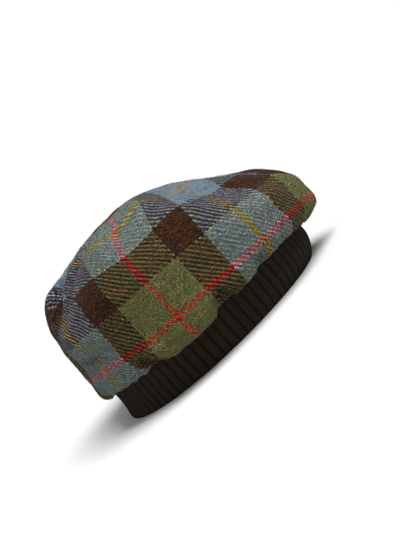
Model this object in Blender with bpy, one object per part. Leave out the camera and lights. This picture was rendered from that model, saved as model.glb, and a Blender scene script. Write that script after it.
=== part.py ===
"""A tweed beret: two cloth half crowns, sewn together from front to back and gathered into a ribbed band."""

import math

import bpy
import numpy as np

# Sizes in metres. The rim rests on z = 0, the front is +X and the wearer's left is +Y.

# The head opening is an egg-shaped oval, wider behind the middle than in front of it.
rim_length = 0.200
rim_width = 0.158
back_fullness = 0.12

# The knitted band is doubled cloth. It swells over the forehead and draws in a little at the nape.
band_height = 0.032
band_thickness = 0.004
rest_strip = 0.0016
fold_round = 0.0045
front_swell = 0.008
side_swell = 0.001
nape_draw_in = 0.003
swell_height = 0.019
rib_count = 68
rib_depth = 0.0008

# The crown is tweed, and it hangs out past the band all the way round.
cloth_thickness = 0.002
crown_overhang = 0.025
crown_rise = 0.106
fold_depth = 0.010

# What is sewn together in the real hat is kept this far apart.
sewing_gap = 0.0003

# How finely the cloth is divided. The columns run up from the band, the rows round it.
crown_columns = 46
side_stations = np.array([0.0, 0.02, 0.06, 0.10, 0.13, 0.17, 0.21, 0.25, 0.29, 0.34, 0.385, 0.43, 0.48])
top_rows = 10
band_columns_per_rib = 2

# The seam's two upper corners lie at this share of the way from the middle of the top to the wall.
seam_corner = 0.60
# Within this distance of the seam, the inside of the wall turns square to it.
seam_turn = 0.008
# An edge sharper than this many degrees stays an edge in the shading.
crease_angle = 50

# Each section of the crown stands over one direction of the band: 0 is the front, -90 the wearer's
# right, 180 the back. An "out" is a distance beyond the oval in overhangs, an "up" a height above
# the band in crown rises. From the band the cloth passes the lowest point underneath, the lower
# corner, the wall and the brow, and then the heights at four fifths, three fifths, two fifths and
# one fifth of the way out from the middle of the top.
section_columns = (
    "angle",
    "under_out", "under_up", "corner_out", "corner_up", "wall_out", "wall_up",
    "brow_up", "four_fifths_up", "three_fifths_up", "two_fifths_up", "one_fifth_up",
)
top_columns = section_columns[7:]
sections = np.array([
    (-160, 0.16, -0.030, 0.32, 0.020, 0.16, 0.26, 0.530, 0.650, 0.797, 0.900, 0.960),
    (-140, 0.22, 0.010, 0.38, 0.065, 0.26, 0.26, 0.565, 0.720, 0.845, 0.925, 0.970),
    (-120, 0.36, 0.005, 0.56, 0.070, 0.64, 0.28, 0.615, 0.797, 0.905, 0.965, 0.985),
    (-100, 0.72, -0.012, 0.94, 0.060, 1.00, 0.28, 0.650, 0.825, 0.932, 0.984, 0.995),
    (-70, 0.76, 0.018, 0.98, 0.075, 1.06, 0.26, 0.575, 0.770, 0.895, 0.965, 0.988),
    (-40, 0.70, 0.012, 1.02, 0.060, 1.22, 0.22, 0.425, 0.590, 0.735, 0.875, 0.965),
    (-20, 0.64, -0.045, 0.92, 0.010, 1.12, 0.17, 0.345, 0.515, 0.690, 0.848, 0.957),
    (0, 0.72, -0.085, 1.14, -0.028, 1.32, 0.13, 0.305, 0.465, 0.662, 0.832, 0.942),
    (20, 0.64, -0.045, 0.92, 0.010, 1.12, 0.17, 0.420, 0.535, 0.685, 0.838, 0.942),
    (50, 0.76, 0.006, 1.00, 0.060, 1.16, 0.23, 0.490, 0.632, 0.752, 0.858, 0.932),
    (90, 0.72, 0.006, 0.92, 0.070, 1.04, 0.26, 0.595, 0.760, 0.850, 0.905, 0.941),
    (130, 0.48, 0.000, 0.68, 0.060, 0.80, 0.30, 0.615, 0.755, 0.838, 0.894, 0.941),
    (155, 0.20, -0.035, 0.36, 0.030, 0.60, 0.40, 0.650, 0.792, 0.852, 0.910, 0.953),
    (180, 0.10, -0.085, 0.30, -0.030, 0.12, 0.28, 0.565, 0.665, 0.850, 0.930, 0.960),
])
crest_up = 0.970
top_shares = np.array([0.95, 0.80, 0.60, 0.40, 0.20, 0.0])

# How far along the cloth each of those points lies: 0 is the band, 1 the middle of the top. The
# second point is the lip, where the cloth leaves the band's outer edge.
section_stations = np.array([0.0, 0.02, 0.10, 0.15, 0.29, 0.48, 0.60, 0.71, 0.81, 0.90, 1.0])
lip_station = section_stations[1]
brow_row = 5
top_stations = section_stations[brow_row:]

# Folds and lobes low on the wall, where the cloth is gathered into the band. The place is an angle
# and a station with their half widths, and the pushes are shares of fold_depth. They grow from
# nothing over the first stretch of cloth past the lip.
fold_start = 0.06
fold_columns = ("angle", "half_angle", "station", "half_station", "push_out", "push_up")
folds = (
    (-120, 7, 0.10, 0.15, -0.75, 0.45),
    (-82, 7, 0.10, 0.12, -0.45, 0.50),
    (-62, 7, 0.10, 0.10, -0.25, 0.15),
    (66, 8, 0.10, 0.12, -0.45, 0.35),
    (92, 14, 0.12, 0.14, 0.15, -0.20),
    (118, 8, 0.12, 0.16, -0.65, 0.45),
    (-160, 14, 0.34, 0.09, -0.22, 0.0),
    (-46, 20, 0.50, 0.16, -0.35, 0.0),
    (146, 12, 0.34, 0.12, -0.25, 0.0),
)

# Soft hollows and humps of the top. The place is in shares of the reach, forward and to the left.
# They fade out below the brow, between these two stations.
dent_fade = (0.40, 0.52)
dent_columns = ("forward", "left", "half_forward", "half_left", "rise")
dents = (
    (-0.80, 0.38, 0.15, 0.22, 0.35),
    (0.62, -0.40, 0.34, 0.26, -0.30),
    (-0.04, -0.42, 0.13, 0.45, -0.16),
    (0.15, -0.40, 0.12, 0.40, 0.10),
    (-0.26, -0.42, 0.14, 0.36, 0.08),
    (-0.74, 0.06, 0.22, 0.10, -0.22),
)


def through(stations, values, at):
    """Smooth values at the given stations: a cubic through every row, with slopes from the rows beside it."""
    slopes = np.gradient(values, stations, axis=0)
    row = np.clip(np.searchsorted(stations, at, side="right") - 1, 0, len(stations) - 2)
    step = stations[row + 1] - stations[row]
    share = (at - stations[row]) / step
    extra = (1,) * (values.ndim - 1)
    share = share.reshape(share.shape + extra)
    step = step.reshape(step.shape + extra)
    rest = 1 - share
    from_ends = (1 + 2 * share) * rest**2 * values[row] + (3 - 2 * share) * share**2 * values[row + 1]
    from_slopes = step * share * rest * (rest * slopes[row] - share * slopes[row + 1])
    return from_ends + from_slopes


def bump(distance, half_width):
    """A smooth hill, 1 in the middle and 0 from half_width outwards."""
    return np.cos(np.pi / 2 * np.clip(distance / half_width, -1, 1)) ** 2


def smooth_step(value):
    """0 below 0, 1 above 1, and an even curve between."""
    value = np.clip(value, 0, 1)
    return value * value * (3 - 2 * value)


def oval(angle, outward):
    """The point that lies outward beyond the rim's oval, in the direction of the angle in radians."""
    x = (rim_length / 2 + outward) * np.cos(angle)
    y = (rim_width / 2 + outward) * np.sin(angle) * (1 - back_fullness * np.cos(angle))
    return x, y


def band_outward(angle, height):
    """How far the band's outside stands beyond the oval: it swells in front and draws in behind."""
    forward = np.clip(np.cos(angle), 0, 1) ** 2
    backward = np.clip(-np.cos(angle), 0, 1) ** 2
    sideways = np.sin(angle) ** 2
    climb = np.sin(np.pi / 2 * np.clip(height / swell_height, 0, 1))
    return climb * (front_swell * forward - nape_draw_in * backward + side_swell * sideways)


def section_values(angle):
    """Every column of the section table at the given angles in radians, taken smoothly round the oval."""
    order = np.argsort(sections[:, 0])
    rows = sections[order]
    before = rows[-3:] - np.array([360] + [0] * (rows.shape[1] - 1))
    after = rows[:3] + np.array([360] + [0] * (rows.shape[1] - 1))
    rows = np.vstack([before, rows, after])
    values = through(rows[:, 0], rows[:, 1:], np.degrees(angle))
    return dict(zip(section_columns[1:], np.moveaxis(values, -1, 0)))


def section_points(angle):
    """The points that the cloth passes over one angle, from the band to the middle of the top."""
    value = section_values(angle)
    band_out = band_outward(angle, band_height)
    on_band = np.full_like(angle, band_height + sewing_gap)
    points = [
        np.stack([*oval(angle, band_out - band_thickness / 2), on_band], axis=-1),
        np.stack([*oval(angle, band_out + 2 * sewing_gap), on_band], axis=-1),
    ]
    for place in ("under", "corner", "wall"):
        outward = crown_overhang * value[place + "_out"]
        up = band_height + crown_rise * value[place + "_up"]
        points.append(np.stack([*oval(angle, outward), up], axis=-1))
    wall_x, wall_y = oval(angle, crown_overhang * value["wall_out"])
    heights = [value[name] for name in top_columns] + [np.full_like(angle, crest_up)]
    for share, height in zip(top_shares, heights):
        up = band_height + crown_rise * height
        points.append(np.stack([share * wall_x, share * wall_y, up], axis=-1))
    return np.stack(points)


def crown_point(angle, station):
    """The outside of the crown: a cubic up each section, which runs on over the top into the one opposite."""
    shape = angle.shape
    angle = angle.ravel()
    station = station.ravel()
    points = section_points(angle)
    beyond = section_points((angle + 2 * np.pi) % (2 * np.pi) - np.pi)[-2]
    points = np.concatenate([points, beyond[None]])
    stations = np.append(section_stations, 2 - section_stations[-2])
    slopes = np.gradient(points, stations, axis=0)
    row = np.clip(np.searchsorted(stations, station, side="right") - 1, 0, len(stations) - 2)
    each = np.arange(len(angle))
    step = (stations[row + 1] - stations[row])[:, None]
    share = (station - stations[row])[:, None] / step
    rest = 1 - share
    place = (1 + 2 * share) * rest**2 * points[row, each] + (3 - 2 * share) * share**2 * points[row + 1, each]
    place += step * share * rest * (rest * slopes[row, each] - share * slopes[row + 1, each])
    push_out = np.zeros_like(angle)
    push_up = np.zeros_like(angle)
    grown = smooth_step((station - lip_station) / fold_start)
    for row_values in folds:
        fold = dict(zip(fold_columns, row_values))
        weight = grown * bump(np.degrees(angle) - fold["angle"], fold["half_angle"])
        weight *= bump(station - fold["station"], fold["half_station"])
        push_out += fold_depth * fold["push_out"] * weight
        push_up += fold_depth * fold["push_up"] * weight
    reach = np.interp(station, top_stations, top_shares)
    forward = reach * np.cos(angle)
    left = reach * np.sin(angle)
    on_top = smooth_step((station - dent_fade[0]) / (dent_fade[1] - dent_fade[0]))
    for row_values in dents:
        dent = dict(zip(dent_columns, row_values))
        weight = on_top * bump(forward - dent["forward"], dent["half_forward"])
        weight *= bump(left - dent["left"], dent["half_left"])
        push_up += fold_depth * dent["rise"] * weight
    place[:, 0] += push_out * np.cos(angle)
    place[:, 1] += push_out * np.sin(angle)
    place[:, 2] += push_up
    return place.reshape(*shape, 3)


def half_grid(side, columns, below, rows_above):
    """Angles and stations of one half: up the wall, and then straight across the top to the seam.

    side is -1 for the wearer's right and 1 for the left. Each column leaves the band at its own angle,
    from the front to the back, and passes the stations below. Above the brow it runs to its own point
    of the seam, so no two columns meet.
    """
    share = np.linspace(0, 1, columns + 1)[:, None]
    start = np.pi * share
    above = np.linspace(0, 1, rows_above + 1)[None, 1:]
    brow = top_shares[0]
    forward = (1 - above) * brow * np.cos(start) + above * seam_corner * (1 - 2 * share)
    sideways = (1 - above) * brow * np.sin(start)
    reach = np.hypot(forward, sideways)
    below_shape = (columns + 1, len(below))
    angle = np.hstack([np.broadcast_to(start, below_shape), np.arctan2(sideways, forward)])
    across = np.interp(-reach, -top_shares, top_stations)
    station = np.hstack([np.broadcast_to(below, below_shape), across])
    return side * angle, station


def vertex_normals(points):
    """Outward directions of a grid of points, each the sum of the faces round it."""
    across = points[1:, 1:] - points[:-1, :-1]
    along = points[:-1, 1:] - points[1:, :-1]
    faces = np.cross(across, along)
    normals = np.zeros_like(points)
    for shift in ((0, 0), (0, 1), (1, 0), (1, 1)):
        normals[shift[0]:shift[0] + faces.shape[0], shift[1]:shift[1] + faces.shape[1]] += faces
    return normals / np.linalg.norm(normals, axis=-1, keepdims=True)


def shell_faces(columns, rows):
    """Quads of a closed wall made from two grids of the same size, the outside first."""
    index = np.arange((columns + 1) * (rows + 1)).reshape(columns + 1, rows + 1)
    corners = (index[:-1, :-1], index[1:, :-1], index[1:, 1:], index[:-1, 1:])
    outside = np.stack(corners, axis=-1).reshape(-1, 4)
    inside = outside[:, ::-1] + index.size
    border = np.concatenate([index[:, 0], index[-1, 1:], index[-2::-1, -1], index[0, -2:0:-1]])
    following = np.roll(border, -1)
    edge = np.stack([following, border, border + index.size, following + index.size], axis=-1)
    return np.concatenate([outside, inside, edge])


def make_object(name, points, faces, material):
    """A named mesh object, smooth shaded, with one material."""
    mesh = bpy.data.meshes.new(name)
    mesh.from_pydata(points.reshape(-1, 3).tolist(), [], faces.tolist())
    mesh.validate()
    mesh.shade_smooth()
    mesh.set_sharp_from_angle(angle=math.radians(crease_angle))
    mesh.materials.append(material)
    made = bpy.data.objects.new(name, mesh)
    bpy.context.collection.objects.link(made)
    return made


def plain_material(name, colour, roughness):
    """A matt Principled material of one colour."""
    material = bpy.data.materials.new(name)
    material.use_nodes = True
    shader = material.node_tree.nodes["Principled BSDF"]
    shader.inputs["Base Color"].default_value = (*colour, 1.0)
    shader.inputs["Roughness"].default_value = roughness
    shader.inputs["Metallic"].default_value = 0.0
    return material


def make_crown_half(name, side, material):
    """One half of the crown as a wall of cloth, with its seam edge kept flat in the middle plane."""
    angle, station = half_grid(side, crown_columns, side_stations, top_rows)
    outside = crown_point(angle, station)
    on_seam = np.zeros(angle.shape, bool)
    on_seam[[0, -1], :] = True
    on_seam[:, -1] = True
    outside[on_seam, 1] = side * sewing_gap / 2
    normals = vertex_normals(outside) * side
    clear_of_seam = smooth_step(np.abs(outside[..., 1]) / seam_turn)
    normals[..., 1] *= np.where(on_seam, 0, clear_of_seam)
    normals /= np.linalg.norm(normals, axis=-1, keepdims=True)
    inside = outside - cloth_thickness * normals
    inside[:, 0, :] = outside[:, 0, :] + (0, 0, cloth_thickness)
    faces = shell_faces(crown_columns, len(side_stations) - 1 + top_rows)
    if side < 0:
        faces = faces[:, ::-1]
    return make_object(name, np.stack([outside, inside]), faces, material)


def make_band(name, material):
    """The ribbed band: one closed profile, carried round the oval, with the ribs on its outside."""
    count = rib_count * band_columns_per_rib
    angle = 2 * np.pi * np.arange(count) / count
    rib = rib_depth * 0.5 * (1 + np.cos(rib_count * angle))
    inner_edge = (band_thickness + rest_strip) / 2
    outer_edge = (band_thickness - rest_strip) / 2
    # Each profile point has its height, its depth from the outside and its share of the rib's depth.
    # The lower edge is the knit's fold, so it is round but for the strip that it rests on.
    profile = (
        (0.0, outer_edge, 0.0),
        (0.3 * fold_round, 0.25 * outer_edge, 0.8),
        (fold_round, 0.0, 1.0),
        (0.35 * band_height, 0.0, 1.0),
        (0.60 * band_height, 0.0, 1.0),
        (band_height - 0.25 * fold_round, 0.0, 1.0),
        (band_height, 0.10 * band_thickness, 0.0),
        (band_height, band_thickness, 0.0),
        (0.60 * band_height, band_thickness, 0.0),
        (fold_round, band_thickness, 0.0),
        (0.3 * fold_round, band_thickness - 0.25 * outer_edge, 0.0),
        (0.0, inner_edge, 0.0),
    )
    rings = []
    for height, depth, rib_share in profile:
        outward = band_outward(angle, height) - depth - rib_share * rib
        rings.append(np.stack([*oval(angle, outward), np.full(count, height)], axis=-1))
    index = np.arange(len(profile) * count).reshape(len(profile), count)
    following = np.roll(index, -1, axis=1)
    above = np.roll(index, -1, axis=0)
    beyond = np.roll(following, -1, axis=0)
    faces = np.stack([index, following, beyond, above], axis=-1).reshape(-1, 4)
    return make_object(name, np.stack(rings), faces, material)


for old in list(bpy.data.objects):
    bpy.data.objects.remove(old, do_unlink=True)

tweed = plain_material("green_brown_tweed", (0.12, 0.11, 0.05), 0.95)
knit = plain_material("dark_brown_knit", (0.012, 0.008, 0.006), 0.9)
make_crown_half("crown_right", -1, tweed)
make_crown_half("crown_left", 1, tweed)
make_band("rib_band", knit)
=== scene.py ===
# %% [markdown]
# # A tweed beret
#
# The real hat is two D-shaped pieces of woollen check cloth. Their curved edges are sewn together in
# one seam that runs from the forehead over the top to the nape, and their straight lower edges are
# gathered into a ribbed knitted band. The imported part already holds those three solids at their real
# sizes. This lesson dresses them: fine cloth in place of the faceted walls, a woven check that
# follows each piece of cloth, a knit with its ribs, and a soft studio round them.

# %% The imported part
import math
from types import SimpleNamespace

import bpy
import numpy as np
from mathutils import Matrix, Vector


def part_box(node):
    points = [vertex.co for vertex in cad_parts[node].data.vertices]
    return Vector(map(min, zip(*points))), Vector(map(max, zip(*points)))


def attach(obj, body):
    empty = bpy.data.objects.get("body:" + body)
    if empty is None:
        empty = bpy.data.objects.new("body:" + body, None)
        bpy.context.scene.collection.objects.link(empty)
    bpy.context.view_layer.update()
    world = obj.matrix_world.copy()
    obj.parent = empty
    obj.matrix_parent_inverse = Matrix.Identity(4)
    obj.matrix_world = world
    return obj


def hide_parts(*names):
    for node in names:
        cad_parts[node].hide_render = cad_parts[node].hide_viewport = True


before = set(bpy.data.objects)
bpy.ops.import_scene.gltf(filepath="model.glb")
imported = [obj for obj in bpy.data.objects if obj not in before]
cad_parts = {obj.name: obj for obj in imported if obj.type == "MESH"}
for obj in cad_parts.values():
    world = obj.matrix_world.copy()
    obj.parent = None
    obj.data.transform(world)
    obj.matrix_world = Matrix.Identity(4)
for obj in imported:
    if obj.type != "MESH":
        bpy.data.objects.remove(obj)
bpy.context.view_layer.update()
print("packed pieces:", ", ".join(sorted(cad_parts)))

# %% [markdown]
# ## Sizes
#
# Everything is in metres. The rim rests on z = 0, the front is +X and the wearer's left is +Y. These
# are the part's own sizes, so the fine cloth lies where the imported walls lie. The head opening is an
# oval that is a little fuller behind its middle, and the band is measured from it.

# %% Sizes of the band and the crown
rim_length = 0.200
rim_width = 0.158
back_fullness = 0.12

band_height = 0.032
band_thickness = 0.004
rest_strip = 0.0016
fold_round = 0.0045
front_swell = 0.008
side_swell = 0.001
nape_draw_in = 0.003
swell_height = 0.019

cloth_thickness = 0.002
crown_overhang = 0.025
crown_rise = 0.106
fold_depth = 0.010
sewing_gap = 0.0003
seam_corner = 0.60
seam_turn = 0.008

band_low, band_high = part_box("rib_band")
part_height = band_high[2] - band_low[2]
print("band height in the part: %.1f mm, here %.1f mm" % (1000 * part_height, 1000 * band_height))

# %% [markdown]
# ## Smooth curves
#
# A few small formulas do all the shaping. A cubic through a table's rows turns a few given values
# into a smooth curve. A hill and a smooth step place folds and fade them out. The oval turns an angle
# and a distance beyond the rim into a place, and the last formula swells the band out from it.

# %% Curves, hills and the oval
def cubic(share, step, values, slopes):
    """The cubic between two rows a step apart: it passes through both values with the slope of each."""
    rest = 1 - share
    from_ends = (1 + 2 * share) * rest**2 * values[0] + (3 - 2 * share) * share**2 * values[1]
    return from_ends + step * share * rest * (rest * slopes[0] - share * slopes[1])


def rows_around(stations, at):
    """The row before each place, the step from it to the next row, and the share of that step."""
    row = np.clip(np.searchsorted(stations, at, side="right") - 1, 0, len(stations) - 2)
    step = stations[row + 1] - stations[row]
    return row, step, (at - stations[row]) / step


def through(stations, values, at):
    """Smooth values at the given stations: a cubic through every row, with slopes from the rows beside it."""
    slopes = np.gradient(values, stations, axis=0)
    row, step, share = rows_around(stations, at)
    shape = row.shape + (1,) * (values.ndim - 1)
    ends = (values[row], values[row + 1])
    return cubic(share.reshape(shape), step.reshape(shape), ends, (slopes[row], slopes[row + 1]))


def bump(distance, half_width):
    """A smooth hill: 1 in the middle and 0 from half_width outwards, as the square of a cosine."""
    return np.cos(np.pi / 2 * np.clip(distance / half_width, -1, 1)) ** 2


def smooth_step(value):
    """0 below 0, 1 above 1, and 3 v squared less 2 v cubed between."""
    value = np.clip(value, 0, 1)
    return value * value * (3 - 2 * value)


def oval(angle, outward):
    """The point that lies outward beyond the rim's oval, in the direction of the angle in radians."""
    x = (rim_length / 2 + outward) * np.cos(angle)
    y = (rim_width / 2 + outward) * np.sin(angle) * (1 - back_fullness * np.cos(angle))
    return x, y


def band_outward(angle, height):
    """How far the band's outside stands beyond the oval: it swells in front and draws in behind."""
    forward = np.clip(np.cos(angle), 0, 1) ** 2
    backward = np.clip(-np.cos(angle), 0, 1) ** 2
    sideways = np.sin(angle) ** 2
    climb = np.sin(np.pi / 2 * np.clip(height / swell_height, 0, 1))
    return climb * (front_swell * forward - nape_draw_in * backward + side_swell * sideways)


# %% [markdown]
# ## The shape of the crown
#
# A soft hat could be dropped on a form by a cloth simulation, but it would fold where it likes. Here
# the folds are known, so the crown is a surface of two parameters instead: the direction round the
# band, and the station along the cloth, from 0 at the band to 1 at the middle of the top. Each row of
# the first table is one section, read like a sewing pattern: how far out and how high the cloth passes.
# Two shorter tables add the folds near the band and the soft hollows of the top, each as one hill.

# %% Sections of the crown
# An "out" is a distance beyond the oval in overhangs, an "up" a height above the band in crown rises.
section_columns = (
    "angle",
    "under_out", "under_up", "corner_out", "corner_up", "wall_out", "wall_up",
    "brow_up", "four_fifths_up", "three_fifths_up", "two_fifths_up", "one_fifth_up",
)
top_columns = section_columns[7:]
sections = np.array([
    (-160, 0.16, -0.030, 0.32, 0.020, 0.16, 0.26, 0.530, 0.650, 0.797, 0.900, 0.960),
    (-140, 0.22, 0.010, 0.38, 0.065, 0.26, 0.26, 0.565, 0.720, 0.845, 0.925, 0.970),
    (-120, 0.36, 0.005, 0.56, 0.070, 0.64, 0.28, 0.615, 0.797, 0.905, 0.965, 0.985),
    (-100, 0.72, -0.012, 0.94, 0.060, 1.00, 0.28, 0.650, 0.825, 0.932, 0.984, 0.995),
    (-70, 0.76, 0.018, 0.98, 0.075, 1.06, 0.26, 0.575, 0.770, 0.895, 0.965, 0.988),
    (-40, 0.70, 0.012, 1.02, 0.060, 1.22, 0.22, 0.425, 0.590, 0.735, 0.875, 0.965),
    (-20, 0.64, -0.045, 0.92, 0.010, 1.12, 0.17, 0.345, 0.515, 0.690, 0.848, 0.957),
    (0, 0.66, -0.079, 1.13, -0.048, 1.32, 0.13, 0.305, 0.465, 0.662, 0.832, 0.942),
    (20, 0.64, -0.045, 0.92, 0.010, 1.12, 0.17, 0.420, 0.535, 0.685, 0.838, 0.942),
    (50, 0.76, 0.006, 1.00, 0.060, 1.16, 0.23, 0.490, 0.632, 0.752, 0.858, 0.932),
    (90, 0.72, 0.006, 0.92, 0.070, 1.04, 0.26, 0.595, 0.760, 0.850, 0.905, 0.941),
    (130, 0.48, 0.000, 0.68, 0.060, 0.80, 0.30, 0.615, 0.755, 0.838, 0.894, 0.941),
    (155, 0.20, -0.035, 0.36, 0.030, 0.60, 0.40, 0.650, 0.792, 0.852, 0.910, 0.953),
    (180, 0.00, -0.084, 0.24, -0.056, 0.14, 0.26, 0.565, 0.665, 0.850, 0.930, 0.960),
])
crest_up = 0.970
top_shares = np.array([0.95, 0.80, 0.60, 0.40, 0.20, 0.0])
section_stations = np.array([0.0, 0.02, 0.10, 0.15, 0.29, 0.48, 0.60, 0.71, 0.81, 0.90, 1.0])
lip_station = section_stations[1]
brow_row = 5
brow_station = section_stations[brow_row]
top_stations = section_stations[brow_row:]

# %% Folds and hollows
# A push or a rise is a share of fold_depth. A fold is placed by its angle in degrees and its station, a
# hollow by how far it lies from the middle of the top, as a share of the way to the wall.
fold_start = 0.06
fold_columns = ("angle", "half_angle", "station", "half_station", "push_out", "push_up")
folds = (
    (-120, 6, 0.10, 0.13, -0.70, 1.10),
    (-80, 7, 0.10, 0.12, -0.45, 1.15),
    (-57, 6, 0.10, 0.10, -0.30, 0.55),
    (66, 8, 0.10, 0.12, -0.45, 0.35),
    (92, 14, 0.12, 0.14, 0.15, -0.20),
    (118, 8, 0.12, 0.16, -0.65, 0.45),
    (-160, 14, 0.34, 0.09, -0.22, 0.0),
    (-46, 20, 0.50, 0.16, -0.35, 0.0),
    (146, 12, 0.34, 0.12, -0.25, 0.0),
)

dent_fade = (0.40, 0.52)
dent_columns = ("forward", "left", "half_forward", "half_left", "rise")
dents = (
    (-0.80, 0.38, 0.15, 0.22, 0.35),
    (0.62, -0.40, 0.34, 0.26, -0.30),
    (-0.04, -0.42, 0.13, 0.45, -0.16),
    (0.15, -0.40, 0.12, 0.40, 0.10),
    (-0.26, -0.42, 0.14, 0.36, 0.08),
    (-0.74, 0.06, 0.22, 0.10, -0.22),
)


def named(columns, rows):
    """A table's rows as dictionaries, so that each value goes by its column's name."""
    return [dict(zip(columns, row)) for row in rows]


def fold_pushes(angle, station):
    """How far folds and hollows push the cloth out and up: each is one hill across times one along."""
    push_out = np.zeros_like(angle)
    push_up = np.zeros_like(angle)
    grown = smooth_step((station - lip_station) / fold_start)
    for fold in named(fold_columns, folds):
        weight = grown * bump(np.degrees(angle) - fold["angle"], fold["half_angle"])
        weight *= bump(station - fold["station"], fold["half_station"])
        push_out += fold_depth * fold["push_out"] * weight
        push_up += fold_depth * fold["push_up"] * weight
    reach = np.interp(station, top_stations, top_shares)
    forward = reach * np.cos(angle)
    left = reach * np.sin(angle)
    on_top = smooth_step((station - dent_fade[0]) / (dent_fade[1] - dent_fade[0]))
    for dent in named(dent_columns, dents):
        weight = on_top * bump(forward - dent["forward"], dent["half_forward"])
        weight *= bump(left - dent["left"], dent["half_left"])
        push_up += fold_depth * dent["rise"] * weight
    return push_out, push_up


print("%d sections, %d folds and %d hollows" % (len(sections), len(folds), len(dents)))


# %% The crown as a surface
def section_values(angle):
    """Every column of the section table at the given angles in radians, taken smoothly round the oval."""
    rows = sections[np.argsort(sections[:, 0])]
    turn = np.array([360] + [0] * (rows.shape[1] - 1))
    rows = np.vstack([rows[-3:] - turn, rows, rows[:3] + turn])
    values = through(rows[:, 0], rows[:, 1:], np.degrees(angle))
    return dict(zip(section_columns[1:], np.moveaxis(values, -1, 0)))


def section_points(angle):
    """The points that the cloth passes over one angle, from the band to the middle of the top."""
    value = section_values(angle)
    band_out = band_outward(angle, band_height)
    on_band = np.full_like(angle, band_height + sewing_gap)
    points = [
        np.stack([*oval(angle, band_out - band_thickness / 2), on_band], axis=-1),
        np.stack([*oval(angle, band_out + 2 * sewing_gap), on_band], axis=-1),
    ]
    for place in ("under", "corner", "wall"):
        outward = crown_overhang * value[place + "_out"]
        up = band_height + crown_rise * value[place + "_up"]
        points.append(np.stack([*oval(angle, outward), up], axis=-1))
    wall_x, wall_y = oval(angle, crown_overhang * value["wall_out"])
    heights = [value[name] for name in top_columns] + [np.full_like(angle, crest_up)]
    for share, height in zip(top_shares, heights):
        up = band_height + crown_rise * height
        points.append(np.stack([share * wall_x, share * wall_y, up], axis=-1))
    return np.stack(points)


def smooth_crown(angle, station):
    """The crown without folds: a cubic up each section, which runs on over the top into the one opposite."""
    points = section_points(angle)
    beyond = section_points((angle + 2 * np.pi) % (2 * np.pi) - np.pi)[-2]
    points = np.concatenate([points, beyond[None]])
    stations = np.append(section_stations, 2 - section_stations[-2])
    slopes = np.gradient(points, stations, axis=0)
    row, step, share = rows_around(stations, station)
    each = np.arange(len(angle))
    ends = (points[row, each], points[row + 1, each])
    return cubic(share[:, None], step[:, None], ends, (slopes[row, each], slopes[row + 1, each]))


def crown_point(angle, station):
    """The outside of the crown: the smooth crown, pushed out along the angle and up by its folds."""
    shape = angle.shape
    angle = angle.ravel()
    station = station.ravel()
    place = smooth_crown(angle, station)
    push_out, push_up = fold_pushes(angle, station)
    place[:, 0] += push_out * np.cos(angle)
    place[:, 1] += push_out * np.sin(angle)
    place[:, 2] += push_up
    return place.reshape(*shape, 3)


# %% [markdown]
# ## A grid for each piece of cloth
#
# If the grid's columns all ran to the middle of the top they would pinch there. A tailor's piece has
# no such point, so the grid has none either: its columns climb the wall from the band, and above the
# brow they cross the top straight to the seam. The grid's border is then the cut edge of the cloth.

# %% The grid of one half
brow_share = 0.52


def half_grid(side, across, up):
    """Angles and stations of one half, for shares from front to back and from the band to the seam.

    side is -1 for the wearer's right and 1 for the left. Below brow_share a column stays at its own
    angle. Above it the column runs straight to its own point of the seam.
    """
    share, climb = np.meshgrid(across, up, indexing="ij")
    start = np.pi * share
    above = np.clip((climb - brow_share) / (1 - brow_share), 0, 1)
    brow = top_shares[0]
    forward = (1 - above) * brow * np.cos(start) + above * seam_corner * (1 - 2 * share)
    sideways = (1 - above) * brow * np.sin(start)
    reach = np.hypot(forward, sideways)
    over_top = np.interp(-reach, -top_shares, top_stations)
    on_wall = climb <= brow_share
    angle = np.where(on_wall, start, np.arctan2(sideways, forward))
    station = np.where(on_wall, brow_station * climb / brow_share, over_top)
    return side * angle, station


def crowded(count, crowding):
    """Shares from 0 to 1 whose steps shrink towards both ends: t less a sine wave of one turn."""
    t = np.linspace(0, 1, count)
    return t - crowding * np.sin(2 * np.pi * t) / (2 * np.pi)


def crown_side(side, across, up):
    """Angles, stations and points of one half, moved off the middle plane by half the sewing gap."""
    angle, station = half_grid(side, across, up)
    points = crown_point(angle, station)
    away = np.abs(points[..., 1])
    points[..., 1] = side * (away + sewing_gap / 2 * (1 - smooth_step(away / seam_turn)))
    return angle, station, points


# %% Outward directions
normal_step = 0.001
last_normal_station = 0.985


def crown_normal(angle, station):
    """Outward directions: the cross product of a small step round the band and a small step up the cloth."""
    station = np.clip(station, 2 * normal_step, last_normal_station)
    round_step = crown_point(angle + normal_step, station) - crown_point(angle - normal_step, station)
    up_step = crown_point(angle, station + normal_step) - crown_point(angle, station - normal_step)
    normals = np.cross(round_step, up_step)
    return normals / np.linalg.norm(normals, axis=-1, keepdims=True)


# %% Walls and pieces
def border_of(grid):
    """The entries along a grid's four edges, once round."""
    return np.concatenate([grid[:, 0], grid[-1, 1:], grid[-2::-1, -1], grid[0, -2:0:-1]])


def shell_faces(columns, rows):
    """Quads of a closed wall made from two grids of the same size, the outside first."""
    index = np.arange(columns * rows).reshape(columns, rows)
    corners = (index[:-1, :-1], index[1:, :-1], index[1:, 1:], index[:-1, 1:])
    outside = np.stack(corners, axis=-1).reshape(-1, 4)
    inside = outside[:, ::-1] + index.size
    border = border_of(index)
    following = np.roll(border, -1)
    edge = np.stack([following, border, border + index.size, following + index.size], axis=-1)
    return np.concatenate([outside, inside, edge])


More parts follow.
